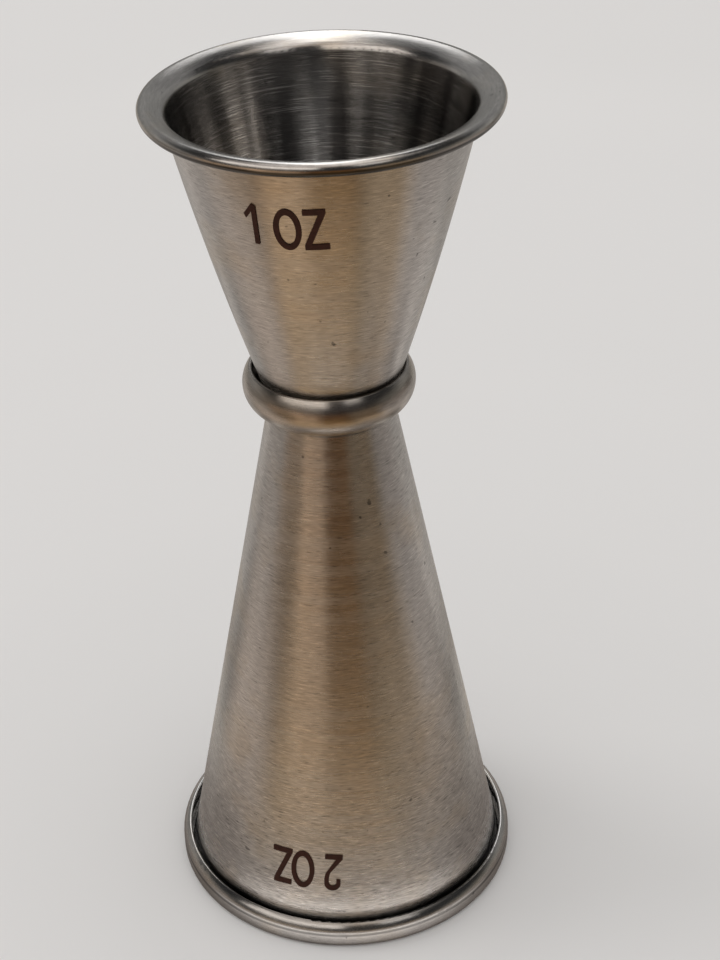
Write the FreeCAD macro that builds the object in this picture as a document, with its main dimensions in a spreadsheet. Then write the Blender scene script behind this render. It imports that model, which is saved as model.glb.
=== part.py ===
"""Double-ended bar jigger: two spun sheet-steel cups joined base to base, with a pressed collar
trapped round the neck and a capacity mark on each cup.

Frame: +Z up, the origin at the centre of the foot that the jigger stands on, millimetres.
The large cup is upside down below the neck and the small cup is upright above it. The marks face -Y.
"""
import FreeCAD, Part
import math
import os
import Sketcher

DIMENSIONS = [
    # alias, value, meaning
    ("overall_height", 124.0, "foot to the top of the small cup's lip"),
    ("sheet_thickness", 0.6, "stainless sheet of both cups and the collar"),
    ("joint_height", 79.7, "plane where the two closed cup ends meet"),
    ("joint_flat_radius", 7.5, "radius of the flat on each closed end"),
    ("base_radius", 25.73, "outside of the large cup's hem"),
    ("foot_land", 0.49, "width of the flat ring the jigger stands on"),
    ("foot_bend", 0.26, "inside radius of the two bends of the hem"),
    ("hem_side", 2.4, "top of the hem's upright side"),
    ("hem_curve", 1.3, "inside radius of the hem's rounded top"),
    ("hem_height", 4.09, "top of the hem's free edge"),
    ("large_corner", 1.41, "outside radius of the large cup's closed end"),
    ("rim_radius", 23.34, "outside of the small cup's lip"),
    ("lip_spread", 1.35, "distance sideways between the centres of the lip's two bends"),
    ("lip_drop", 1.2, "how far the inner bend's centre is below the outer bend's"),
    ("lip_inner_bend", 0.9, "inside radius of the bend from wall to lip"),
    ("lip_outer_bend", 0.3, "inside radius of the bend at the lip's outside"),
    ("lip_crown", 6.0, "inside radius of the lip's sloping top"),
    ("lip_return", 0.9, "length of sheet turned back under the lip"),
    ("small_corner", 1.08, "outside radius of the small cup's closed end"),
    ("wall_bulge", 450.0, "radius of the gentle bulge of the small cup's wall"),
    ("collar_height", 82.85, "middle of the collar's bulge"),
    ("collar_radius", 11.9, "outside of the collar"),
    ("collar_section", 3.8, "outside radius of the collar's bulge in section"),
    ("collar_top_angle", 41.0, "angle in section of the collar's upper edge"),
    ("collar_bottom_angle", 69.0, "angle in section of the collar's lower edge"),
    ("collar_shift", 0.2, "how far the trapped collar sits to one side"),
    ("collar_bearing", 195.0, "direction of that shift, degrees from +X"),
    ("weld_radius", 8.35, "outside of the weld bead"),
    ("weld_height", 1.1, "height of the weld bead at its outside"),
    ("weld_root", 7.45, "radius where the weld bead begins"),
    ("mark_layer", 0.12, "thickness of the dark layer of a mark"),
    ("mark_cap", 5.4, "height of the characters between stroke centres"),
    ("mark_corner", 0.07, "radius of the outside corners of the characters"),
    ("o_half_width", 1.42, "half the width of the O between stroke centres"),
    ("o_half_height", 2.69, "half the height of the O between stroke centres"),
    ("o_side_stroke", 0.72, "width of the O's stroke at its sides"),
    ("o_end_stroke", 0.88, "width of the O's stroke at its top and bottom"),
    ("one_oz_height", 113.4, "middle of the small cup's mark"),
    ("one_oz_digit", -4.16, "middle of its digit along the mark"),
    ("one_oz_o", 0.12, "middle of its O along the mark"),
    ("one_oz_z", 3.6, "middle of its Z along the mark"),
    ("two_oz_height", 11.7, "middle of the large cup's mark"),
    ("two_oz_digit", -3.7, "middle of its digit along the mark"),
    ("two_oz_o", 0.84, "middle of its O along the mark"),
    ("two_oz_z", 4.0, "middle of its Z along the mark"),
]
SIZE = {alias: value for alias, value, _ in DIMENSIONS}

# Corners of the straight-sided characters, from the character's middle and its lower line.
ONE = [(-0.18, -0.2), (0.45, -0.2), (0.45, 5.68), (-0.1, 5.95), (-1.22, 4.25), (-0.97, 3.55), (-0.18, 4.75)]
ZED = [(-1.5, -0.35), (1.5, -0.38), (1.5, 0.45), (-0.6, 0.48), (1.38, 5.08),
       (1.4, 5.77), (-1.4, 5.77), (-1.4, 4.97), (0.5, 4.94), (-1.5, 0.38)]

doc = FreeCAD.newDocument("bar_jigger")


def vector(across, up):
    """A point of a sketch: distance from the axis and height."""
    return FreeCAD.Vector(across, up, 0)


def polar(centre, radius, degrees):
    """The point of a sketch at an angle on a circle."""
    angle = math.radians(degrees)
    return centre + vector(radius * math.cos(angle), radius * math.sin(angle))


def direction(start, end):
    """The angle in degrees of the way from one point of a sketch to another."""
    return math.degrees(math.atan2(end.y - start.y, end.x - start.x))


def touching_centre(first, first_reach, second, second_reach):
    """The point below two others at given distances from them."""
    gap = second - first
    along = (first_reach ** 2 - second_reach ** 2 + gap.Length ** 2) / (2 * gap.Length)
    below = math.sqrt(first_reach ** 2 - along ** 2)
    step = gap / gap.Length
    return first + step * along + vector(step.y, -step.x) * below


# ---------------------------------------------------------------- driving dimensions
def build_sheet():
    sheet = doc.addObject("Spreadsheet::Sheet", "dims")
    for row, (alias, value, meaning) in enumerate(DIMENSIONS, start=1):
        sheet.set(f"A{row}", alias)
        sheet.set(f"B{row}", str(value))
        sheet.set(f"C{row}", meaning)
        sheet.setAlias(f"B{row}", alias)
    doc.recompute()
    return sheet


# ---------------------------------------------------------------- sketched sections
class Section:
    """A closed outline of lines and arcs in a body's XZ plane, revolved about the Z axis.

    Elements are added in walking order. An arc whose second angle is smaller runs clockwise.
    """

    def __init__(self, name):
        self.body = doc.addObject("PartDesign::Body", name + "_body")
        self.sketch = self.body.newObject("Sketcher::SketchObject", name + "_section")
        plane = next(item for item in self.body.Origin.OriginFeatures if item.Role == "XZ_Plane")
        self.sketch.AttachmentSupport = (plane, "")
        self.sketch.MapMode = "FlatFace"
        self.name = name
        self.ends = []

    def line(self, start, end):
        self.ends.append((1, 2))
        return self.sketch.addGeometry(Part.LineSegment(start, end), False)

    def arc(self, centre, radius, first, last):
        low, high = sorted((first, last))
        circle = Part.Circle(centre, FreeCAD.Vector(0, 0, 1), radius)
        self.ends.append((1, 2) if first < last else (2, 1))
        return self.sketch.addGeometry(Part.ArcOfCircle(circle, math.radians(low), math.radians(high)), False)

    def join(self, kind, first, second):
        self.sketch.addConstraint(
            Sketcher.Constraint(kind, first, self.ends[first][1], second, self.ends[second][0]))

    def smooth(self, *elements):
        """Each element runs tangentially into the next."""
        for first, second in zip(elements, elements[1:]):
            self.join("Tangent", first, second)

    def corner(self, first, second):
        self.join("Coincident", first, second)

    def same_centre(self, first, second):
        self.sketch.addConstraint(Sketcher.Constraint("Coincident", first, 3, second, 3))

    def upright(self, *lines):
        for line in lines:
            self.sketch.addConstraint(Sketcher.Constraint("Vertical", line))

    def equal(self, first, second):
        self.sketch.addConstraint(Sketcher.Constraint("Equal", first, second))

    def half_circle(self, arc):
        """Both ends of the arc are straight above and below its centre."""
        for point in (1, 2):
            self.sketch.addConstraint(Sketcher.Constraint("Vertical", arc, point, arc, 3))

    def flat(self, *lines):
        for line in lines:
            self.sketch.addConstraint(Sketcher.Constraint("Horizontal", line))

    def on_axis(self, line):
        """The line lies on the axis of revolution."""
        for point in (1, 2):
            self.sketch.addConstraint(Sketcher.Constraint("PointOnObject", line, point, -2))

    def bind(self, label, formula, *arguments):
        """A dimension whose value comes from the sheet."""
        index = self.sketch.addConstraint(Sketcher.Constraint(*arguments))
        self.sketch.renameConstraint(index, label)
        self.sketch.setExpression("Constraints." + label, formula)

    def radius(self, label, formula, arc):
        current = self.sketch.Geometry[arc].Radius
        self.bind(label, formula, "Radius", arc, current)

    def height(self, label, formula, element, point):
        """Height of a point of the outline above the foot."""
        current = self.sketch.getPoint(element, point).y
        self.bind(label, formula, "DistanceY", -1, 1, element, point, current)

    def across(self, label, formula, element, point):
        """Distance of a point of the outline from the axis."""
        current = self.sketch.getPoint(element, point).x
        self.bind(label, formula, "DistanceX", -1, 1, element, point, current)

    def revolve(self):
        doc.recompute()
        if self.sketch.solve() != 0 or not self.sketch.FullyConstrained:
            raise RuntimeError(f"{self.name}: the section isn't fully constrained")
        feature = self.body.newObject("PartDesign::Revolution", self.name + "_turned")
        feature.Profile = self.sketch
        feature.ReferenceAxis = (self.sketch, ["V_Axis"])
        feature.Angle = 360.0
        self.sketch.Visibility = False
        doc.recompute()
        return self.body


def large_cup():
    """The lower, inverted cup: a straight cone with an open hem turned up outside its mouth."""
    thick = SIZE["sheet_thickness"]
    corner = SIZE["large_corner"]
    top = SIZE["joint_height"]
    flat = SIZE["joint_flat_radius"]
    bend = SIZE["foot_bend"]
    curve = SIZE["hem_curve"]
    end_centre = vector(flat, top - corner)
    hem_centre = vector(SIZE["base_radius"] - bend - thick, bend + thick)
    foot_centre = hem_centre - vector(SIZE["foot_land"], 0)
    top_centre = vector(SIZE["base_radius"] - thick - curve, SIZE["hem_side"])
    run = foot_centre - end_centre
    lean = math.degrees(math.atan2(run.x - bend - corner, -run.y))
    rise = SIZE["hem_height"] - thick / 2 - top_centre.y
    curl = math.degrees(math.asin(rise / (curve + thick / 2)))
    edge_centre = polar(top_centre, curve + thick / 2, curl)

    part = Section("lower_cup")
    end_out = part.line(vector(0, top), vector(flat, top))
    corner_out = part.arc(end_centre, corner, 90, lean)
    wall_out = part.line(polar(end_centre, corner, lean), polar(foot_centre, bend, 180 + lean))
    foot_in = part.arc(foot_centre, bend, 180 + lean, 270)
    land_in = part.line(polar(foot_centre, bend, 270), polar(hem_centre, bend, 270))
    bend_in = part.arc(hem_centre, bend, 270, 360)
    side_in = part.line(polar(hem_centre, bend, 0), polar(top_centre, curve, 0))
    hem_in = part.arc(top_centre, curve, 0, curl)
    edge = part.arc(edge_centre, thick / 2, 180 + curl, curl)
    hem_out = part.arc(top_centre, curve + thick, curl, 0)
    side_out = part.line(polar(top_centre, curve + thick, 0), polar(hem_centre, bend + thick, 0))
    bend_out = part.arc(hem_centre, bend + thick, 360, 270)
    land_out = part.line(polar(hem_centre, bend + thick, 270), polar(foot_centre, bend + thick, 270))
    foot_out = part.arc(foot_centre, bend + thick, 270, 180 + lean)
    wall_in = part.line(polar(foot_centre, bend + thick, 180 + lean), polar(end_centre, corner - thick, lean))
    corner_in = part.arc(end_centre, corner - thick, lean, 90)
    end_in = part.line(vector(flat, top - thick), vector(0, top - thick))
    axis = part.line(vector(0, top - thick), vector(0, top))

    part.smooth(end_out, corner_out, wall_out, foot_in, land_in, bend_in, side_in, hem_in, edge,
                hem_out, side_out, bend_out, land_out, foot_out, wall_in, corner_in, end_in)
    part.corner(end_in, axis)
    part.corner(axis, end_out)
    part.on_axis(axis)
    part.flat(end_out, end_in, land_in, land_out)
    part.same_centre(corner_out, corner_in)
    part.same_centre(foot_in, foot_out)
    part.same_centre(bend_in, bend_out)
    part.same_centre(hem_in, hem_out)
    part.upright(side_in, side_out)
    part.equal(foot_in, bend_in)
    part.height("joint", "dims.joint_height", end_out, 1)
    part.across("joint_flat", "dims.joint_flat_radius", end_out, 2)
    part.bind("thickness", "dims.sheet_thickness", "DistanceY", axis, 1, axis, 2, thick)
    part.radius("corner", "dims.large_corner", corner_out)
    part.radius("foot_inside", "dims.foot_bend", foot_in)
    part.radius("foot_outside", "dims.foot_bend + dims.sheet_thickness", foot_out)
    part.radius("hem_inside", "dims.hem_curve", hem_in)
    part.height("foot", "dims.foot_bend + dims.sheet_thickness", foot_out, 3)
    part.height("side", "dims.hem_side", hem_in, 3)
    part.bind("land", "dims.foot_land", "DistanceX", land_in, 1, land_in, 2, SIZE["foot_land"])
    part.across("base", "dims.base_radius", bend_out, 2)
    part.height("hem_edge", "dims.hem_height - dims.sheet_thickness / 2", edge, 3)
    return part.revolve()


def small_cup():
    """The upper cup: a slightly bulging cone with a lip that slopes outwards and is rolled under."""
    thick = SIZE["sheet_thickness"]
    corner = SIZE["small_corner"]
    base = SIZE["joint_height"]
    flat = SIZE["joint_flat_radius"]
    bulge = SIZE["wall_bulge"]
    inner_bend = SIZE["lip_inner_bend"]
    outer_bend = SIZE["lip_outer_bend"]
    crown = SIZE["lip_crown"]
    end_centre = vector(flat, base + corner)
    roll_centre = vector(SIZE["rim_radius"] - thick - outer_bend, SIZE["overall_height"] - thick - outer_bend)
    bend_centre = roll_centre - vector(SIZE["lip_spread"], SIZE["lip_drop"])
    crown_centre = touching_centre(bend_centre, crown - inner_bend, roll_centre, crown - outer_bend)
    run = bend_centre - end_centre
    lean = math.degrees(math.atan2(run.x - inner_bend - corner, run.y))
    sweep = math.degrees(math.asin(run.Length / 2 / bulge))
    low, high = lean + sweep, lean - sweep
    wall_centre = polar(end_centre, corner - bulge, -low)
    inner_end = direction(crown_centre, bend_centre)
    outer_end = direction(crown_centre, roll_centre)
    under = roll_centre.y - outer_bend
    return_end = roll_centre.x - SIZE["lip_return"]
    edge_centre = vector(return_end, under - thick / 2)

    part = Section("upper_cup")
    end_out = part.line(vector(0, base), vector(flat, base))
    corner_out = part.arc(end_centre, corner, 270, 360 - low)
    wall_out = part.arc(wall_centre, bulge, -low, -high)
    bend_in = part.arc(bend_centre, inner_bend, 180 - high, inner_end)
    crown_in = part.arc(crown_centre, crown, inner_end, outer_end)
    roll_in = part.arc(roll_centre, outer_bend, outer_end, -90)
    return_in = part.line(vector(roll_centre.x, under), vector(return_end, under))
    edge = part.arc(edge_centre, thick / 2, 90, 270)
    return_out = part.line(vector(return_end, under - thick), vector(roll_centre.x, under - thick))
    roll_out = part.arc(roll_centre, outer_bend + thick, -90, outer_end)
    crown_out = part.arc(crown_centre, crown + thick, outer_end, inner_end)
    bend_out = part.arc(bend_centre, inner_bend + thick, inner_end, 180 - high)
    wall_in = part.arc(wall_centre, bulge - thick, -high, -low)
    corner_in = part.arc(end_centre, corner - thick, 360 - low, 270)
    end_in = part.line(vector(flat, base + thick), vector(0, base + thick))
    axis = part.line(vector(0, base + thick), vector(0, base))

    part.smooth(end_out, corner_out, wall_out, bend_in, crown_in, roll_in, return_in, edge,
                return_out, roll_out, crown_out, bend_out, wall_in, corner_in, end_in)
    part.corner(end_in, axis)
    part.corner(axis, end_out)
    part.on_axis(axis)
    part.flat(end_out, end_in, return_in, return_out)
    part.same_centre(corner_out, corner_in)
    part.same_centre(wall_out, wall_in)
    part.same_centre(bend_in, bend_out)
    part.same_centre(crown_in, crown_out)
    part.same_centre(roll_in, roll_out)
    part.height("joint", "dims.joint_height", end_out, 1)
    part.across("joint_flat", "dims.joint_flat_radius", end_out, 2)
    part.bind("thickness", "dims.sheet_thickness", "DistanceY", axis, 2, axis, 1, thick)
    part.radius("corner", "dims.small_corner", corner_out)
    part.radius("bulge", "dims.wall_bulge", wall_out)
    part.radius("bend", "dims.lip_inner_bend", bend_in)
    part.radius("crown", "dims.lip_crown", crown_in)
    part.radius("roll", "dims.lip_outer_bend", roll_in)
    part.height("top", "dims.overall_height - dims.sheet_thickness - dims.lip_outer_bend", roll_in, 3)
    part.across("rim", "dims.rim_radius - dims.sheet_thickness - dims.lip_outer_bend", roll_in, 3)
    part.bind("spread", "dims.lip_spread", "DistanceX", bend_in, 3, roll_in, 3, SIZE["lip_spread"])
    part.bind("drop", "dims.lip_drop", "DistanceY", bend_in, 3, roll_in, 3, SIZE["lip_drop"])
    part.bind("turned_back", "dims.lip_return", "DistanceX", return_in, 2, return_in, 1, SIZE["lip_return"])
    return part.revolve()


def collar_band():
    """A sheet band pressed to a round bulge in section, with rounded free edges."""
    thick = SIZE["sheet_thickness"]
    outside = SIZE["collar_section"]
    top = SIZE["collar_top_angle"]
    bottom = -SIZE["collar_bottom_angle"]
    centre = vector(SIZE["collar_radius"] - outside, SIZE["collar_height"])
    middle = outside - thick / 2

    part = Section("collar")
    outer = part.arc(centre, outside, bottom, top)
    upper_edge = part.arc(polar(centre, middle, top), thick / 2, top, top + 180)
    inner = part.arc(centre, outside - thick, top, bottom)
    lower_edge = part.arc(polar(centre, middle, bottom), thick / 2, bottom - 180, bottom)
    part.smooth(outer, upper_edge, inner, lower_edge, outer)
    part.same_centre(outer, inner)
    part.height("middle", "dims.collar_height", outer, 3)
    part.across("centre", "dims.collar_radius - dims.collar_section", outer, 3)
    part.radius("bulge", "dims.collar_section", outer)
    part.radius("bulge_inside", "dims.collar_section - dims.sheet_thickness", inner)
    middle_arc = "(dims.collar_section - dims.sheet_thickness / 2)"
    part.height("upper_edge", f"dims.collar_height + {middle_arc} * sin(dims.collar_top_angle * 1deg)",
                upper_edge, 3)
    part.height("lower_edge", f"dims.collar_height - {middle_arc} * sin(dims.collar_bottom_angle * 1deg)",
                lower_edge, 3)
    body = part.revolve()
    body.setExpression("Placement.Base.x", "dims.collar_shift * cos(dims.collar_bearing * 1deg)")
    body.setExpression("Placement.Base.y", "dims.collar_shift * sin(dims.collar_bearing * 1deg)")
    return body


def weld_bead(lower, upper):
    """The bead that fills the groove between the rounded ends of the two cups."""
    root = vector(SIZE["weld_root"], SIZE["joint_height"])
    half = SIZE["weld_height"] / 2
    side = SIZE["weld_radius"] - half
    top, bottom = vector(side, root.y + half), vector(side, root.y - half)

    part = Section("weld_blank")
    flank = part.line(root, bottom)
    face = part.arc(vector(side, root.y), half, -90, 90)
    other_flank = part.line(top, root)
    part.corner(flank, face)
    part.corner(face, other_flank)
    part.corner(other_flank, flank)
    part.half_circle(face)
    part.height("joint", "dims.joint_height", flank, 1)
    part.across("root", "dims.weld_root", flank, 1)
    part.height("centre", "dims.joint_height", face, 3)
    part.across("face_centre", "dims.weld_radius - dims.weld_height / 2", face, 3)
    part.bind("face_height", "dims.weld_height", "DistanceY", face, 1, face, 2, SIZE["weld_height"])
    blank = part.revolve()

    above = doc.addObject("Part::Cut", "weld_below_upper_cup")
    above.Base = blank
    above.Tool = upper
    bead = doc.addObject("Part::Cut", "weld_bead")
    bead.Base = above
    bead.Tool = lower
    doc.recompute()
    return bead


# ---------------------------------------------------------------- capacity marks
def polyline(*points):
    return [Part.LineSegment(start, end).toShape() for start, end in zip(points, points[1:])]


def soft_face(edges):
    """The inside of a closed outline with its outside corners slightly rounded."""
    corner = SIZE["mark_corner"]
    return Part.Face(Part.Wire(edges)).makeOffset2D(-corner).makeOffset2D(corner)


def glyph_straight(middle, corners):
    points = [vector(middle + across, up) for across, up in corners]
    return soft_face(polyline(*points, points[0]))


def glyph_two(middle):
    """A round hook, open to the left, that runs down into a slanting leg and a straight foot."""
    def at(across, up):
        return vector(middle + across, up)

    def curve(start, between, end):
        return [Part.Arc(at(*start), at(*between), at(*end)).toShape()]

    foot_and_leg = polyline(at(-1.38, 0.3), at(-1.38, -0.4), at(1.2, -0.4), at(1.2, 0.42),
                            at(-0.44, 0.42), at(1.08, 2.9))
    outside = curve((1.08, 2.9), (1.23, 3.7), (1.24, 4.55))
    outside += curve((1.24, 4.55), (0.05, 5.74), (-1.14, 4.55))
    hook_end = polyline(at(-1.14, 4.55), at(-1.13, 3.88), at(-0.54, 3.74), at(-0.54, 4.37))
    inside = curve((-0.54, 4.37), (0.02, 4.93), (0.58, 4.37))
    inside += curve((0.58, 4.37), (0.55, 3.5), (0.36, 2.72))
    leg = polyline(at(0.36, 2.72), at(-1.38, 0.3))
    return soft_face(foot_and_leg + outside + hook_end + inside + leg)


def glyph_o(middle):
    """An upright oval ring, a little heavier at its top and bottom."""
    centre = vector(middle, SIZE["mark_cap"] / 2)
    rings = []
    for side in (0.5, -0.5):
        tall = SIZE["o_half_height"] + side * SIZE["o_end_stroke"]
        wide = SIZE["o_half_width"] + side * SIZE["o_side_stroke"]
        oval = Part.Ellipse(centre, tall, wide)
        oval.rotate(FreeCAD.Placement(centre, FreeCAD.Vector(0, 0, 1), 90))
        rings.append(Part.Wire(oval.toShape()))
    return Part.Face(rings, "Part::FaceMakerBullseye")


def capacity_mark(name, cup, height, glyphs, upside_down):
    """Characters cut from a thin skin on the outside of a cup's wall."""
    wall = max(cup.Shape.Faces, key=lambda face: face.Area)
    level = Part.makeLine(FreeCAD.Vector(0, 0, height), FreeCAD.Vector(0, -SIZE["overall_height"], height))
    spot = level.distToShape(wall)[1][0][1]
    outward = wall.normalAt(*wall.Surface.parameter(spot))
    right = FreeCAD.Vector(-1 if upside_down else 1, 0, 0)
    upright = outward.cross(right)
    flat = FreeCAD.Placement(spot - upright * SIZE["mark_cap"] / 2,
                             FreeCAD.Rotation(right, upright, outward, "ZXY"))
    # The wall falls back from the flat characters by its own curvature over half the mark's width.
    reach = SIZE["mark_cap"] / 4
    skin = wall.makeOffsetShape(SIZE["mark_layer"], 1e-5, fill=True)
    pieces = []
    for glyph in glyphs:
        cutter = glyph.translated(FreeCAD.Vector(0, 0, -reach)).extrude(FreeCAD.Vector(0, 0, 2 * reach))
        cutter.Placement = flat
        piece = skin.common(cutter)
        if abs(piece.Volume / glyph.Area / SIZE["mark_layer"] - 1) > 0.1:
            raise RuntimeError(f"{name}: a character wasn't cut from the wall's skin")
        pieces += piece.Solids
    mark = doc.addObject("Part::Feature", name)
    mark.Shape = Part.makeCompound(pieces)
    mark.Placement = FreeCAD.Placement()
    return mark


# ---------------------------------------------------------------- the assembly
def check_document():
    for item in doc.Objects:
        if {"Invalid", "Error"} & set(item.State):
            raise RuntimeError(f"{item.Label} failed: {item.State}")


def write_step(node, part):
    part.Label = node
    if part.Shape.isNull() or not part.Shape.isValid():
        raise RuntimeError(f"{node} has no valid shape")
    part.Shape.exportStep(f"parts/{node}.step")
    solids = len(part.Shape.Solids)
    print(f"{node}: {solids} solid(s), {part.Shape.Volume:.2f} mm3")


build_sheet()
lower_cup = large_cup()
upper_cup = small_cup()
collar = collar_band()
neck_weld = weld_bead(lower_cup, upper_cup)
one_oz = (glyph_straight(SIZE["one_oz_digit"], ONE), glyph_o(SIZE["one_oz_o"]),
          glyph_straight(SIZE["one_oz_z"], ZED))
two_oz = (glyph_two(SIZE["two_oz_digit"]), glyph_o(SIZE["two_oz_o"]),
          glyph_straight(SIZE["two_oz_z"], ZED))
one_oz_mark = capacity_mark("one_oz", upper_cup, SIZE["one_oz_height"], one_oz, False)
two_oz_mark = capacity_mark("two_oz", lower_cup, SIZE["two_oz_height"], two_oz, True)
doc.recompute()
check_document()

os.makedirs("parts", exist_ok=True)
write_step("lower_cup", lower_cup)
write_step("upper_cup", upper_cup)
write_step("collar", collar)
write_step("neck_weld", neck_weld)
write_step("one_oz_mark", one_oz_mark)
write_step("two_oz_mark", two_oz_mark)
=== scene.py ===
"""Looks of the bar jigger: brushed steel, oxide-dark marks, a pale table and soft studio light."""
import math

import bpy
from mathutils import Matrix, Vector


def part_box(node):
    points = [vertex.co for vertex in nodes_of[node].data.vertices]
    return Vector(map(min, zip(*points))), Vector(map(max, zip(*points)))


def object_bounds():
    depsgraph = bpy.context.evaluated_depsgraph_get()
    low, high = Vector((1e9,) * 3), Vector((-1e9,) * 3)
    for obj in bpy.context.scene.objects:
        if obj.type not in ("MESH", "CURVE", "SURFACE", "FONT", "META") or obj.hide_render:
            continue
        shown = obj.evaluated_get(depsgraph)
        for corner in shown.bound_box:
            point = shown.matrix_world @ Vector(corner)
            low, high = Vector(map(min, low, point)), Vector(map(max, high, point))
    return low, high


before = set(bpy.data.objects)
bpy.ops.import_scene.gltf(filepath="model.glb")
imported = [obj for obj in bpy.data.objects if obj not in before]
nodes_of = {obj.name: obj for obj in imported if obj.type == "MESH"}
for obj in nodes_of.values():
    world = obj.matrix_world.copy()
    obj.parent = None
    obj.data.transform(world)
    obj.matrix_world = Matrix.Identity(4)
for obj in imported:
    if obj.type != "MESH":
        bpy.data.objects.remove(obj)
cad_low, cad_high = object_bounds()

scene = bpy.context.scene

# ---------------------------------------------------------------- numbers
CAMERA_TURN = math.radians(15.1)    # the camera stands this far round from -Y, towards +X
MM = 1000.0                         # the finishes below are written in millimetres
LIP_TOP = cad_high.z * MM
LIP_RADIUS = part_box("upper_cup")[1].x * MM
HEM_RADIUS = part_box("lower_cup")[1].x * MM

# Where one finish, painted shade or painted light fades into the next, mm: from a height to a height, or from
# a radius to a radius
LIP_HEIGHT = (LIP_TOP - 2.1, LIP_TOP - 1.5)
# The next two bound the painted shade under the lip roll.
LIP_ROLL_HEIGHT = (LIP_TOP - 1.05, LIP_TOP - 0.8)
LIP_ROLL_RADIUS = (LIP_RADIUS - 1.14, LIP_RADIUS - 0.74)
SMALL_FLOOR_RADIUS = (7.5, 9.5)
HEM_HEIGHT = (4.2, 4.5)
HEM_INNER_RADIUS = (HEM_RADIUS - 1.73, HEM_RADIUS - 1.48)
# The fold edges bound the painted shade along the hem's fold line.
FOLD_LOWER_EDGE, FOLD_UPPER_EDGE = (2.1, 2.35), (2.6, 2.85)
# The next three bound the painted shade in the gap between the hem and the wall.
GAP_HEIGHT = (3.8, 4.1)
GAP_INNER_EDGE = (HEM_RADIUS - 2.33, HEM_RADIUS - 2.13)
GAP_OUTER_EDGE = (HEM_RADIUS - 1.48, HEM_RADIUS - 1.33)
# The next two bound the painted light on the wall just above the hem, up to a height and inside a radius.
PAINTED_LIGHT_HEIGHT = (4.5, 9.0)
PAINTED_LIGHT_RADIUS = (HEM_RADIUS - 2.23, HEM_RADIUS - 2.03)
COARSE_HEIGHT = (8.0, 40.0)

# Grain of the brushed steel: length round the axis and height along the wall, mm
FINE = (1.7, 0.21)
DASHES = (1.3, 0.19)
SCRATCHES = (6.0, 0.15)
BANDS = (30.0, 1.3)
CLOUD = (9.0, 9.0)

ROOM_RADIUS = 3.0
TABLE_RADIUS = 4.0


# ---------------------------------------------------------------- node helpers
class Graph:
    """Short names for the nodes of one material or world."""

    def __init__(self, owner):
        owner.use_nodes = True
        self.tree = owner.node_tree
        self.tree.nodes.clear()

    def show(self, shader, output="ShaderNodeOutputMaterial"):
        self.link(shader.outputs[0], self.node(output).inputs["Surface"])

    def node(self, kind, **settings):
        made = self.tree.nodes.new(kind)
        for key, value in settings.items():
            setattr(made, key, value)
        return made

    def link(self, source, target):
        self.tree.links.new(source, target)

    def put(self, socket, value):
        if isinstance(value, bpy.types.NodeSocket):
            self.link(value, socket)
        else:
            socket.default_value = value

    def math(self, operation, *values):
        made = self.node("ShaderNodeMath", operation=operation)
        for socket, value in zip(made.inputs, values):
            self.put(socket, value)
        return made.outputs[0]

    def add_colours(self, first, second):
        made = self.node("ShaderNodeVectorMath", operation="ADD")
        self.put(made.inputs[0], first)
        self.put(made.inputs[1], second)
        return made.outputs["Vector"]

    def scale_colour(self, colour, factor):
        made = self.node("ShaderNodeVectorMath", operation="SCALE")
        self.put(made.inputs[0], colour)
        self.put(made.inputs["Scale"], factor)
        return made.outputs["Vector"]

    def combine(self, x, y, z):
        made = self.node("ShaderNodeCombineXYZ")
        for socket, value in zip(made.inputs, (x, y, z)):
            self.put(socket, value)
        return made.outputs[0]

    def split(self, vector):
        made = self.node("ShaderNodeSeparateXYZ")
        self.link(vector, made.inputs[0])
        return made.outputs

    def noise(self, vector, scale=1.0, detail=2.0):
        made = self.node("ShaderNodeTexNoise", noise_dimensions="3D")
        self.link(vector, made.inputs["Vector"])
        made.inputs["Scale"].default_value = scale
        made.inputs["Detail"].default_value = detail
        made.inputs["Roughness"].default_value = 0.5
        made.inputs["Distortion"].default_value = 0.0
        return made.outputs["Fac"]

    def remap(self, value, low, high, to_low=0.0, to_high=1.0, smooth=False):
        made = self.node("ShaderNodeMapRange", interpolation_type="SMOOTHSTEP" if smooth else "LINEAR")
        self.put(made.inputs["Value"], value)
        for name, number in zip(("From Min", "From Max", "To Min", "To Max"), (low, high, to_low, to_high)):
            self.put(made.inputs[name], number)
        return made.outputs["Result"]

    def rise(self, value, low, high, smooth=False):
        """0 up to low, 1 from high on."""
        return self.remap(value, low, high, 0.0, 1.0, smooth)

    def fall(self, value, low, high, smooth=False):
        """1 up to low, 0 from high on."""
        return self.remap(value, low, high, 1.0, 0.0, smooth)

    def times(self, first, *others):
        for other in others:
            first = self.math("MULTIPLY", first, other)
        return first

    def plus(self, first, *others):
        for other in others:
            first = self.math("ADD", first, other)
        return first

    def less(self, first, second):
        return self.math("SUBTRACT", first, second)

    def towards(self, first, second, amount):
        """first where amount is 0, second where it is 1."""
        return self.plus(first, self.times(amount, self.less(second, first)))

    def mix(self, factor, first, second):
        made = self.node("ShaderNodeMix", data_type="RGBA", blend_type="MIX")
        self.put(made.inputs["Factor"], factor)
        self.put(made.inputs[6], first)
        self.put(made.inputs[7], second)
        return made.outputs[2]


def grain_coordinates(graph, cone_sign):
    """x, y, z, the distance from the axis and the way along the wall, in millimetres.

    cone_sign is 1 for a wall that widens upwards, -1 for one that widens downwards and 0 for an upright one.
    """
    place = graph.split(graph.node("ShaderNodeTexCoord").outputs["Object"])
    x, y, z = (graph.times(part, MM) for part in place)
    radius = graph.math("SQRT", graph.plus(graph.times(x, x), graph.times(y, y)))
    return x, y, z, radius, graph.plus(z, graph.times(radius, cone_sign))


def stretched(graph, x, y, along, size):
    """Noise coordinates for streaks of that length round the axis and height along the wall."""
    length, height = size
    return graph.combine(graph.math("DIVIDE", x, length), graph.math("DIVIDE", y, length),
                         graph.math("DIVIDE", along, height))


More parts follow.
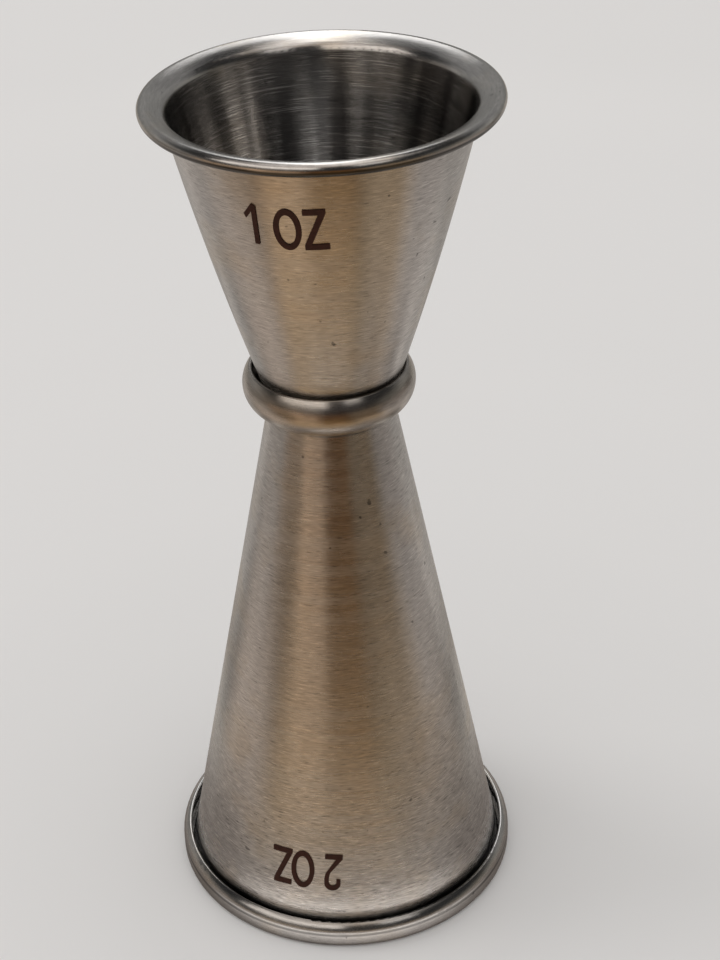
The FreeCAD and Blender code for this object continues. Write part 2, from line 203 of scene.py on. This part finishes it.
def steel(name, cone_sign, base=(0.58, 0.57, 0.56), rough=0.27, anisotropic=0.85, finish=None):
    material = bpy.data.materials.new(name)
    graph = Graph(material)
    x, y, z, radius, along = grain_coordinates(graph, cone_sign)
    # The finish gives the zone's roughness, grain and scratch amounts and a tone; in the two cups that tone
    # holds painted shade and painted light.
    zone_rough, grain, scratched, tone_with_painted_shade_and_light = finish(graph, x, y, z, radius) if finish else (rough, 0.5, 0.0, 1.0)

    fine = graph.noise(stretched(graph, x, y, along, FINE), detail=1.0)
    dashes = graph.noise(stretched(graph, x, y, along, DASHES), detail=1.0)
    bands = graph.noise(stretched(graph, x, y, along, BANDS), detail=3.0)
    cloud = graph.noise(stretched(graph, x, y, along, CLOUD), detail=3.0)
    lines = graph.noise(stretched(graph, x, y, along, SCRATCHES), detail=1.0)
    grit = graph.noise(graph.combine(x, y, z), scale=0.9, detail=0.0)

    brushing = graph.plus(graph.remap(fine, 0.3, 0.7, -0.11, 0.11),
                          graph.remap(dashes, 0.32, 0.68, -0.09, 0.09),
                          graph.remap(dashes, 0.66, 0.74, 0.0, 0.22))
    brushing = graph.less(brushing, graph.remap(dashes, 0.33, 0.25, 0.0, 0.3))
    shade = graph.plus(graph.times(brushing, grain),
                       graph.times(graph.remap(lines, 0.6, 0.72, 0.0, 1.9), scratched),
                       graph.remap(bands, 0.3, 0.7, -0.04, 0.04),
                       graph.remap(cloud, 0.3, 0.7, -0.05, 0.05))
    specks = graph.remap(grit, 0.85, 0.87, 0.0, 0.5)
    # The tone multiplies the colour, so the cups' painted shade and painted light go into the base colour.
    shade = graph.times(graph.plus(graph.less(shade, specks), 1.0), tone_with_painted_shade_and_light)
    red, green, blue = base
    stained = (red, green * 0.95, blue * 0.88, 1.0)
    colour = graph.scale_colour(graph.mix(graph.rise(cloud, 0.52, 0.72), (*base, 1.0), stained), shade)

    roughness = graph.plus(zone_rough, graph.remap(bands, 0.3, 0.7, -0.03, 0.03),
                           graph.remap(cloud, 0.3, 0.7, -0.02, 0.02))

    bump = graph.node("ShaderNodeBump")
    bump.inputs["Strength"].default_value = 0.22
    bump.inputs["Distance"].default_value = 0.00002
    graph.link(graph.times(graph.plus(fine, dashes), grain), bump.inputs["Height"])

    tangent = graph.node("ShaderNodeTangent", direction_type="RADIAL", axis="Z")
    surface = graph.node("ShaderNodeBsdfPrincipled")
    surface.inputs["Metallic"].default_value = 1.0
    surface.inputs["Anisotropic"].default_value = anisotropic
    surface.inputs["Anisotropic Rotation"].default_value = 0.25
    graph.link(colour, surface.inputs["Base Color"])
    graph.link(roughness, surface.inputs["Roughness"])
    graph.link(bump.outputs["Normal"], surface.inputs["Normal"])
    graph.link(tangent.outputs["Tangent"], surface.inputs["Tangent"])
    graph.show(surface)
    return material


def faces_axis(graph, x, y):
    """1 on surfaces that face the axis or lie level, such as the inside of a cup, and 0 on outside ones."""
    normal = graph.split(graph.node("ShaderNodeNewGeometry").outputs["Normal"])
    outward = graph.plus(graph.times(x, normal[0]), graph.times(y, normal[1]))
    return graph.math("LESS_THAN", outward, 0.5)


def dark_mark(name):
    """A dull oxide layer, mottled and a little streaked by the grain underneath."""
    material = bpy.data.materials.new(name)
    graph = Graph(material)
    x, y, z, _, along = grain_coordinates(graph, 0.0)
    mottle = graph.noise(graph.combine(x, y, z), scale=3.0, detail=3.0)
    streak = graph.noise(stretched(graph, x, y, along, (1.0, 0.1)), detail=1.0)
    amount = graph.plus(graph.remap(mottle, 0.3, 0.7, 0.0, 0.6), graph.remap(streak, 0.3, 0.7, 0.0, 0.4))
    surface = graph.node("ShaderNodeBsdfPrincipled")
    surface.inputs["Specular IOR Level"].default_value = 0.15
    graph.link(graph.mix(amount, (0.02, 0.006, 0.003, 1.0), (0.05, 0.015, 0.008, 1.0)),
               surface.inputs["Base Color"])
    graph.link(graph.remap(mottle, 0.3, 0.7, 0.5, 0.65), surface.inputs["Roughness"])
    graph.show(surface)
    return material


def small_cup_finish_and_painted_shade(graph, x, y, z, radius):
    """Satin outside and scratched inside, with painted shade in the bowl, in upright bands that are partly a
    dull finish and partly painted reflection, and painted shade under the polished lip roll.
    """
    inside = faces_axis(graph, x, y)
    lip = graph.rise(z, *LIP_HEIGHT, smooth=True)
    in_bowl = graph.times(inside, graph.less(1.0, lip))
    rough = graph.towards(graph.remap(inside, 0.0, 1.0, 0.27, 0.19), 0.2, lip)
    grain = graph.plus(graph.remap(lip, 0.0, 1.0, 1.0, 0.45), graph.times(in_bowl, 0.3))

    # Painted shade in the bowl: the colour is held at 0.6, and away from the floor it varies in upright bands
    # that are partly a dull finish and partly painted reflection.
    round_x = graph.times(graph.math("DIVIDE", x, radius), 4.0)
    round_y = graph.times(graph.math("DIVIDE", y, radius), 4.0)
    upright = graph.noise(graph.combine(round_x, round_y, graph.times(z, 0.02)), detail=1.0)
    off_the_floor = graph.rise(radius, *SMALL_FLOOR_RADIUS)
    bowl_painted_shade_and_bands = graph.plus(0.6, graph.times(graph.remap(upright, 0.4, 0.6, -0.35, 0.3), off_the_floor))
    # Painted shade on the underside of the lip roll, out at its rim, fading out upwards.
    painted_shade_under_roll = graph.times(graph.remap(z, *LIP_ROLL_HEIGHT, 0.85, 0.0),
                             graph.rise(radius, *LIP_ROLL_RADIUS))
    tone_with_painted_shade_and_light = graph.times(graph.towards(1.0, bowl_painted_shade_and_bands, in_bowl), graph.less(1.0, painted_shade_under_roll))
    return rough, grain, in_bowl, tone_with_painted_shade_and_light


def large_cup_finish_and_painted_light(graph, x, y, z, radius):
    """Satin and coarser towards the mouth, with painted light on the wall just above the hem, and a polished
    hem with painted shade along its fold and in the gap between it and the wall.
    """
    inside = faces_axis(graph, x, y)
    hem = graph.times(graph.rise(radius, *HEM_INNER_RADIUS, smooth=True),
                      graph.fall(z, *HEM_HEIGHT, smooth=True))
    rough = graph.towards(graph.remap(inside, 0.0, 1.0, 0.27, 0.22), 0.2, hem)
    grain = graph.towards(graph.remap(z, *COARSE_HEIGHT, 1.6, 1.0), 0.5, hem)
    scratched = graph.times(inside, 0.4, graph.less(1.0, hem))

    # Painted shade along a fold line across the hem.
    fold_painted_shade = graph.times(hem, graph.rise(z, *FOLD_LOWER_EDGE), graph.fall(z, *FOLD_UPPER_EDGE))
    # Painted shade in the gap between the hem and the wall, below the hem's top.
    gap_painted_shade = graph.times(graph.rise(radius, *GAP_INNER_EDGE), graph.fall(radius, *GAP_OUTER_EDGE),
                      graph.fall(z, *GAP_HEIGHT))
    # Painted light on the wall just above the hem, brightest low down and fading out upwards.
    painted_light_above_hem = graph.times(graph.fall(radius, *PAINTED_LIGHT_RADIUS), graph.remap(z, *PAINTED_LIGHT_HEIGHT, 0.35, 0.0))
    tone_with_painted_shade_and_light = graph.plus(1.0, graph.less(painted_light_above_hem, graph.times(hem, 0.1)))
    tone_with_painted_shade_and_light = graph.less(tone_with_painted_shade_and_light, graph.times(fold_painted_shade, 0.55))
    return rough, grain, scratched, graph.times(tone_with_painted_shade_and_light, graph.less(1.0, graph.times(gap_painted_shade, 0.9)))


def dress(node, material):
    for material_slot in nodes_of[node].material_slots:
        material_slot.material = material


dress("lower_cup", steel("brushed_large_cup", -1.0, finish=large_cup_finish_and_painted_light))
dress("upper_cup", steel("brushed_small_cup", 1.0, finish=small_cup_finish_and_painted_shade))
dress("collar", steel("pressed_collar", 0.0, base=(0.48, 0.455, 0.43), rough=0.25, anisotropic=0.7))
dress("neck_weld", steel("weld_bead", 0.0, base=(0.3, 0.26, 0.22), rough=0.5))
mark = dark_mark("dark_oxide")
dress("one_oz_mark", mark)
dress("two_oz_mark", mark)


# ---------------------------------------------------------------- table
def mesh_item(name, verts, faces):
    mesh = bpy.data.meshes.new(name)
    mesh.from_pydata(verts, [], faces)
    item = bpy.data.objects.new(name, mesh)
    scene.collection.objects.link(item)
    return item


def ring_of_points(radius, height, segments):
    turns = (2 * math.pi * k / segments for k in range(segments))
    return [(radius * math.cos(turn), radius * math.sin(turn), height) for turn in turns]


def disc(name, radius, height, segments=96):
    return mesh_item(name, ring_of_points(radius, height, segments), [tuple(range(segments))])


table = disc("table", TABLE_RADIUS, cad_low.z)
table.visible_glossy = False
material = bpy.data.materials.new("pale_table")
graph = Graph(material)
geometry = graph.node("ShaderNodeNewGeometry")
broad = graph.noise(geometry.outputs["Position"], scale=6.0, detail=2.0)
surface = graph.node("ShaderNodeBsdfPrincipled")
graph.link(graph.mix(broad, (0.80, 0.785, 0.772, 1), (0.815, 0.80, 0.79, 1)), surface.inputs["Base Color"])
surface.inputs["Roughness"].default_value = 0.6
surface.inputs["Specular IOR Level"].default_value = 0.1
seen_from_above_only = graph.node("ShaderNodeMixShader")
graph.link(geometry.outputs["Backfacing"], seen_from_above_only.inputs[0])
graph.link(surface.outputs[0], seen_from_above_only.inputs[1])
graph.link(graph.node("ShaderNodeBsdfTransparent").outputs[0], seen_from_above_only.inputs[2])
graph.show(seen_from_above_only)
table.data.materials.append(material)

# ---------------------------------------------------------------- what the steel mirrors
# Soft cards round the object, fixed in the room, that only reflections see. Bearings are in degrees from
# the marked side that the camera stands on, positive to its right. Each card: bearing, half width, softness,
# level, half height, softness, colour. The level is an elevation in degrees in the room and a distance from
# the axis in mm on the table. A half width of 360 goes all the way round.
ROOM_CARDS = [
    (0, 360, 1, 45, 60, 1, (0.03, 0.03, 0.03)),
    (180, 75, 20, 14, 12, 6, (0.21, 0.205, 0.195)),
    (180, 60, 20, 35, 12, 8, (0.20, 0.195, 0.19)),
    (-179, 13, 7, 56, 19, 6, (2.3, 2.28, 2.25)),
    (0, 35, 15, 81, 11, 6, (0.55, 0.52, 0.48)),
    (-100, 25, 15, 8, 10, 6, (0.17, 0.15, 0.13)),
    (-35, 22, 10, 12, 14, 8, (0.11, 0.09, 0.07)),
    (95, 30, 15, 8, 10, 6, (0.13, 0.12, 0.10)),
    (-40, 36, 4, 42, 13, 4, (1.2, 1.1, 1.0)),
    (36, 13, 4, 46, 8, 3, (0.9, 0.85, 0.8)),
    (-75, 40, 15, 64, 9, 6, (0.25, 0.22, 0.20)),
    (0, 40, 15, 64, 9, 6, (0.55, 0.46, 0.39)),
    (75, 35, 15, 64, 9, 6, (0.36, 0.33, 0.30)),
    (90, 60, 25, 81, 12, 6, (1.0, 0.94, 0.88)),
    (180, 45, 20, 81, 12, 6, (0.9, 0.8, 0.7)),
    (-75, 35, 20, 81, 12, 6, (0.83, 0.78, 0.72)),
]
TABLE_CARDS = [
    (0, 360, 1, 36, 12, 6, (0.23, 0.20, 0.18)),
    (0, 45, 25, 31, 3, 2, (1.50, 1.42, 1.34)),
    (0, 75, 25, 52, 10, 8, (0.24, 0.22, 0.20)),
    (180, 80, 25, 52, 10, 8, (0.44, 0.41, 0.37)),
    (-10, 50, 18, 78, 22, 10, (0.50, 0.35, 0.20)),
    (75, 30, 15, 78, 22, 10, (0.34, 0.28, 0.23)),
    (-85, 25, 15, 78, 22, 10, (0.52, 0.43, 0.36)),
    (180, 60, 20, 78, 22, 10, (0.32, 0.29, 0.26)),
    (-90, 25, 12, 125, 32, 15, (0.52, 0.43, 0.36)),
    (-35, 22, 12, 125, 32, 15, (0.50, 0.34, 0.21)),
    (8, 20, 12, 125, 32, 15, (0.27, 0.15, 0.06)),
    (55, 22, 12, 125, 32, 15, (0.48, 0.35, 0.22)),
    (100, 25, 12, 125, 32, 15, (0.51, 0.46, 0.42)),
    (180, 60, 15, 125, 32, 15, (0.42, 0.39, 0.36)),
    (-55, 20, 10, 240, 85, 30, (0.12, 0.08, 0.04)),
    (-28, 14, 8, 240, 85, 30, (0.48, 0.33, 0.21)),
    (5, 18, 8, 240, 85, 30, (0.14, 0.075, 0.03)),
    (42, 18, 8, 240, 85, 30, (0.11, 0.07, 0.04)),
    (85, 20, 10, 240, 85, 30, (0.29, 0.26, 0.24)),
    (-110, 30, 15, 240, 85, 30, (0.48, 0.43, 0.39)),
    (165, 60, 15, 240, 85, 30, (0.42, 0.39, 0.36)),
    (-60, 22, 10, 1800, 1500, 40, (0.40, 0.28, 0.19)),
    (-30, 16, 8, 1800, 1500, 40, (0.37, 0.23, 0.14)),
    (5, 18, 8, 1800, 1500, 40, (0.12, 0.05, 0.015)),
    (45, 22, 8, 1800, 1500, 40, (0.24, 0.18, 0.12)),
    (95, 25, 15, 1800, 1500, 40, (0.26, 0.22, 0.19)),
    (-110, 25, 15, 1800, 1500, 40, (0.16, 0.14, 0.12)),
    (180, 50, 15, 1800, 1500, 40, (0.38, 0.35, 0.31)),
]


def dome(name, radius, lowest=-0.1, rings=24, segments=72):
    """A dome from a little below the table, at the angle lowest in radians, to the zenith."""
    verts, faces = [], []
    for i in range(rings + 1):
        lift = lowest + (math.pi / 2 - lowest) * i / rings
        verts += ring_of_points(radius * math.cos(lift), radius * math.sin(lift), segments)
    for i in range(rings):
        for k in range(segments):
            n = (k + 1) % segments
            faces.append((i * segments + k, i * segments + n, (i + 1) * segments + n, (i + 1) * segments + k))
    return mesh_item(name, verts, faces)


def soft_band(graph, value, centre, half, soft, wraps=False):
    """1 within the band, 0 outside it, with soft edges."""
    away = graph.math("ABSOLUTE", graph.less(value, centre))
    if wraps:
        away = graph.math("MINIMUM", away, graph.less(360.0, away))
    return graph.fall(away, half - soft, half + soft, smooth=True)


def elevation(graph, x, y, z):
    return graph.times(graph.math("ARCSINE", graph.math("DIVIDE", z, ROOM_RADIUS)), 180 / math.pi)


def distance_mm(graph, x, y, z):
    return graph.times(graph.math("SQRT", graph.plus(graph.times(x, x), graph.times(y, y))), MM)


def mirror_only(item, cards, level_of):
    """Gives a stage piece the glow of its cards, seen by reflections alone."""
    for ray in ("camera", "diffuse", "shadow", "transmission", "volume_scatter"):
        setattr(item, "visible_" + ray, False)
    material = bpy.data.materials.new(item.name + "_glow")
    graph = Graph(material)
    x, y, z = graph.split(graph.node("ShaderNodeNewGeometry").outputs["Position"])
    cos, sin = math.cos(CAMERA_TURN), math.sin(CAMERA_TURN)
    side = graph.plus(graph.times(x, cos), graph.times(y, sin))
    front = graph.less(graph.times(x, sin), graph.times(y, cos))
    bearing = graph.times(graph.math("ARCTAN2", side, front), 180 / math.pi)
    level = level_of(graph, x, y, z)
    total = (0.0, 0.0, 0.0)
    for centre, half, soft, height, reach, edge, colour in cards:
        shape = soft_band(graph, level, height, reach, edge)
        if half < 180:
            shape = graph.times(shape, soft_band(graph, bearing, centre, half, soft, wraps=True))
        total = graph.add_colours(total, graph.scale_colour(colour, shape))
    glow = graph.node("ShaderNodeEmission")
    graph.link(total, glow.inputs["Color"])
    graph.show(glow)
    item.data.materials.append(material)


mirror_only(dome("room", ROOM_RADIUS), ROOM_CARDS, elevation)
mirror_only(disc("table_mirror", ROOM_RADIUS, cad_low.z), TABLE_CARDS, distance_mm)

# ---------------------------------------------------------------- light
world = bpy.data.worlds.new("studio")
scene.world = world
graph = Graph(world)
path = graph.node("ShaderNodeLightPath")
background = graph.node("ShaderNodeBackground")
ambient, backdrop = (0.78, 0.775, 0.77, 1), (0.70, 0.69, 0.68, 1)
graph.link(graph.mix(path.outputs["Is Camera Ray"], ambient, backdrop), background.inputs["Color"])
graph.show(background, "ShaderNodeOutputWorld")


def soft_light(name, place, target, size, power):
    """A disc of light that neither the camera nor the steel sees."""
    data = bpy.data.lights.new(name, "AREA")
    data.shape = "DISK"
    data.size = size
    data.energy = power
    item = bpy.data.objects.new(name, data)
    item.location = place
    item.rotation_mode = "QUATERNION"
    item.rotation_quaternion = (Vector(target) - Vector(place)).to_track_quat("-Z", "Y")
    item.visible_glossy = False
    item.visible_camera = False
    scene.collection.objects.link(item)


soft_light("key", (-2.25, -0.1, 1.9), (0, 0, 0.05), size=1.6, power=11.5)


# ---------------------------------------------------------------- camera
def place_camera():
    """In metres and radians. The shift stands for a picture whose middle isn't on the lens's axis."""
    distance, lift = 0.23604, 0.21484
    yaw, pitch, roll = -0.0452, 0.5817, 0.0587
    data = bpy.data.cameras.new("camera")
    data.lens = 73.75
    data.sensor_width = 36.0
    data.shift_x = 0.1032
    data.shift_y = 0.0447
    data.clip_start = 0.01
    data.clip_end = 20.0
    item = bpy.data.objects.new("camera", data)
    scene.collection.objects.link(item)
    forward = Vector((math.sin(yaw) * math.cos(pitch), math.cos(yaw) * math.cos(pitch), -math.sin(pitch)))
    right = Vector((math.cos(yaw), -math.sin(yaw), 0.0))
    down = forward.cross(right)
    rolled_right = right * math.cos(roll) + down * math.sin(roll)
    rolled_down = down * math.cos(roll) - right * math.sin(roll)
    basis = Matrix((rolled_right, -rolled_down, -forward)).transposed().to_4x4()
    basis.translation = Vector((0.0, -distance, lift))
    item.matrix_world = Matrix.Rotation(CAMERA_TURN, 4, "Z") @ basis
    scene.camera = item


place_camera()
scene.view_settings.view_transform = "Standard"
